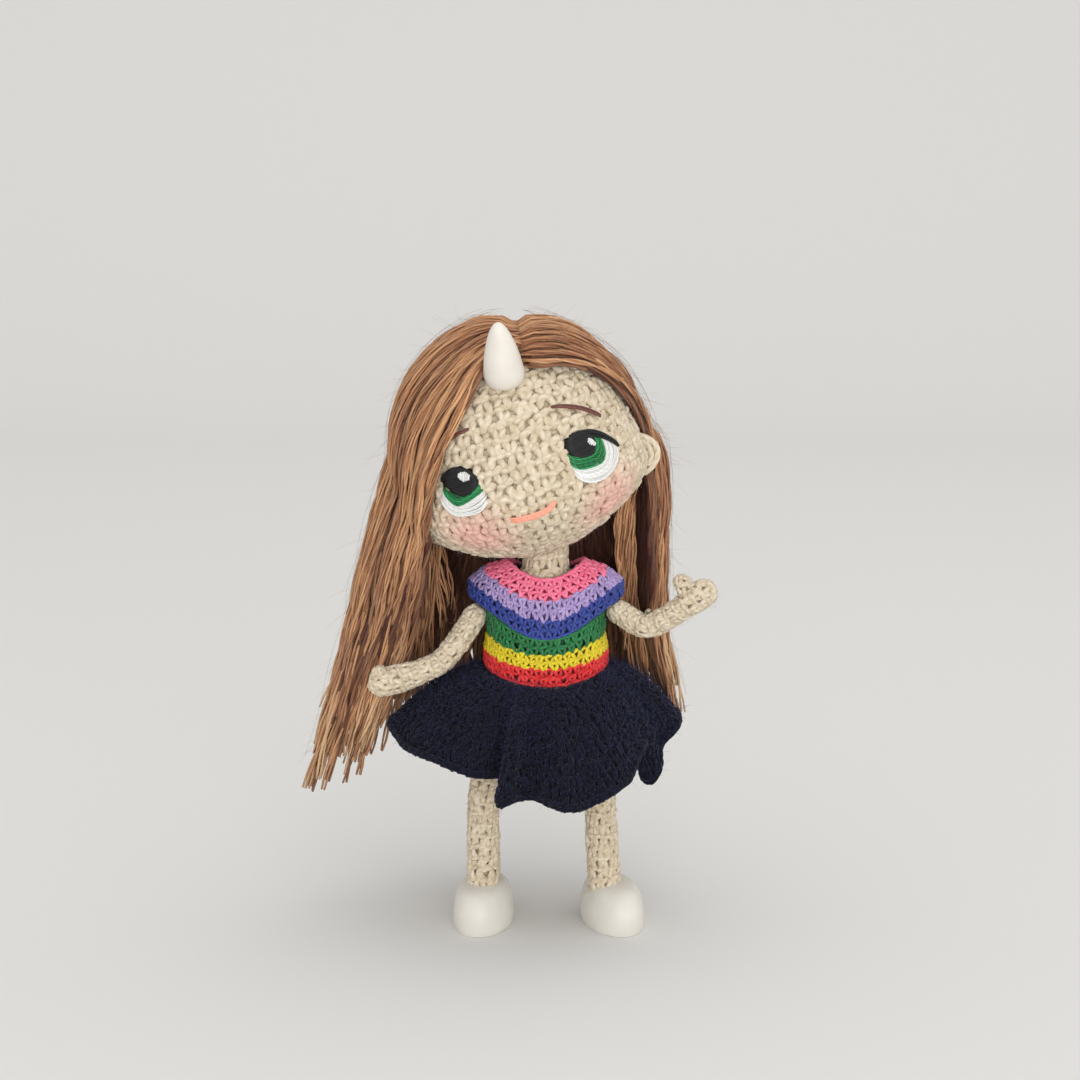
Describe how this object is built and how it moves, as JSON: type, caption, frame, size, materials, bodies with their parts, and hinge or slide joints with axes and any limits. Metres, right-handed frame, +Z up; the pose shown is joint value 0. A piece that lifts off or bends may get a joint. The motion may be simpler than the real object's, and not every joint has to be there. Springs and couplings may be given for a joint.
{
  "type": "amigurumi doll",
  "caption": "Small standing crocheted doll with a wire skeleton, long yarn hair, a forehead horn, a striped top, a flared skirt and moulded shoes.",
  "frame": {"origin": "centre of the bounding box's underside, on the surface under the shoe soles", "axes": "+Z up, the doll faces -Y, +X towards the doll's own left"},
  "size_m": [0.0966, 0.0644, 0.1417],
  "materials": {
    "skin_yarn": "matte crocheted cotton, natural cream",
    "stuffing": "loose white fibre",
    "wire": "bare annealed wire",
    "hair_yarn": "two-ply chestnut yarn",
    "white_clay": "smooth moulded clay, satin white",
    "white_thread": "embroidery thread",
    "green_thread": "embroidery thread",
    "black_thread": "embroidery thread",
    "brown_thread": "embroidery thread",
    "coral_thread": "embroidery thread",
    "navy_yarn": "fuzzy crocheted yarn",
    "pink_cotton": "mercerised cotton",
    "lavender_cotton": "mercerised cotton",
    "blue_cotton": "mercerised cotton",
    "green_cotton": "mercerised cotton",
    "yellow_cotton": "mercerised cotton",
    "red_cotton": "mercerised cotton"
  },
  "bodies": {
    "trunk": {"torso_cover": "skin_yarn", "torso_stuffing": "stuffing", "spine_wire": "wire", "skirt": "navy_yarn", "top_band_pink": "pink_cotton", "top_band_lavender": "lavender_cotton", "top_band_blue": "blue_cotton", "top_band_green": "green_cotton", "top_band_yellow": "yellow_cotton", "top_band_red": "red_cotton"},
    "head": {"head_wire": "wire", "head_cover": "skin_yarn", "head_stuffing": "stuffing", "nose": "skin_yarn", "horn": "white_clay", "mouth": "coral_thread", "pupil_right": "black_thread", "iris_right": "green_thread", "eye_white_right": "white_thread", "lash_right": "black_thread", "brow_right": "brown_thread", "glint_right": "white_thread", "ear_right": "skin_yarn", "hair_right": "hair_yarn", "pupil_left": "black_thread", "iris_left": "green_thread", "eye_white_left": "white_thread", "lash_left": "black_thread", "brow_left": "brown_thread", "glint_left": "white_thread", "ear_left": "skin_yarn", "hair_left": "hair_yarn"},
    "upper_arm_right_body": {"upper_arm_right": "skin_yarn", "upper_arm_wire_right": "wire"},
    "forearm_right_body": {"forearm_right": "skin_yarn", "forearm_wire_right": "wire", "thumb_right": "skin_yarn"},
    "upper_arm_left_body": {"upper_arm_left": "skin_yarn", "upper_arm_wire_left": "wire"},
    "forearm_left_body": {"forearm_left": "skin_yarn", "forearm_wire_left": "wire", "thumb_left": "skin_yarn"},
    "thigh_right_body": {"thigh_right": "skin_yarn", "thigh_wire_right": "wire"},
    "shin_right_body": {"shin_right": "skin_yarn", "shin_wire_right": "wire", "shoe_right": "white_clay"},
    "thigh_left_body": {"thigh_left": "skin_yarn", "thigh_wire_left": "wire"},
    "shin_left_body": {"shin_left": "skin_yarn", "shin_wire_left": "wire", "shoe_left": "white_clay"}
  },
  "joints": [
    {"name": "head_tilt", "type": "hinge", "parent": "trunk", "child": "head", "pos_m": [0.01045, -0.00301, 0.0886], "axis": [0, 1, 0], "range_deg": [-3, 30], "deforming": ["hair_right", "hair_left"]},
    {"name": "shoulder_right", "type": "hinge", "parent": "trunk", "child": "upper_arm_right_body", "pos_m": [-0.00395, -0.00401, 0.0757], "axis": [0, 1, 0], "range_deg": [-3, 22]},
    {"name": "elbow_right", "type": "hinge", "parent": "upper_arm_right_body", "child": "forearm_right_body", "pos_m": [-0.01176, -0.00801, 0.06501], "axis": [0, 1, 0], "range_deg": [-8, 45]},
    {"name": "shoulder_left", "type": "hinge", "parent": "trunk", "child": "upper_arm_left_body", "pos_m": [0.02485, -0.00401, 0.0757], "axis": [0, -1, 0], "range_deg": [-22, 8]},
    {"name": "elbow_left", "type": "hinge", "parent": "upper_arm_left_body", "child": "forearm_left_body", "pos_m": [0.0317, -0.00952, 0.07247], "axis": [0, -1, 0], "range_deg": [-45, 15]},
    {"name": "hip_right", "type": "hinge", "parent": "trunk", "child": "thigh_right_body", "pos_m": [0.00075, -0.00301, 0.0502], "axis": [-1, 0, 0], "range_deg": [-25, 40]},
    {"name": "knee_right", "type": "hinge", "parent": "thigh_right_body", "child": "shin_right_body", "pos_m": [-0.00375, -0.00301, 0.031], "axis": [1, 0, 0], "range_deg": [-5, 45]},
    {"name": "hip_left", "type": "hinge", "parent": "trunk", "child": "thigh_left_body", "pos_m": [0.02015, -0.00301, 0.0502], "axis": [-1, 0, 0], "range_deg": [-25, 40]},
    {"name": "knee_left", "type": "hinge", "parent": "thigh_left_body", "child": "shin_left_body", "pos_m": [0.02285, -0.00301, 0.031], "axis": [1, 0, 0], "range_deg": [-5, 45]}
  ]
}
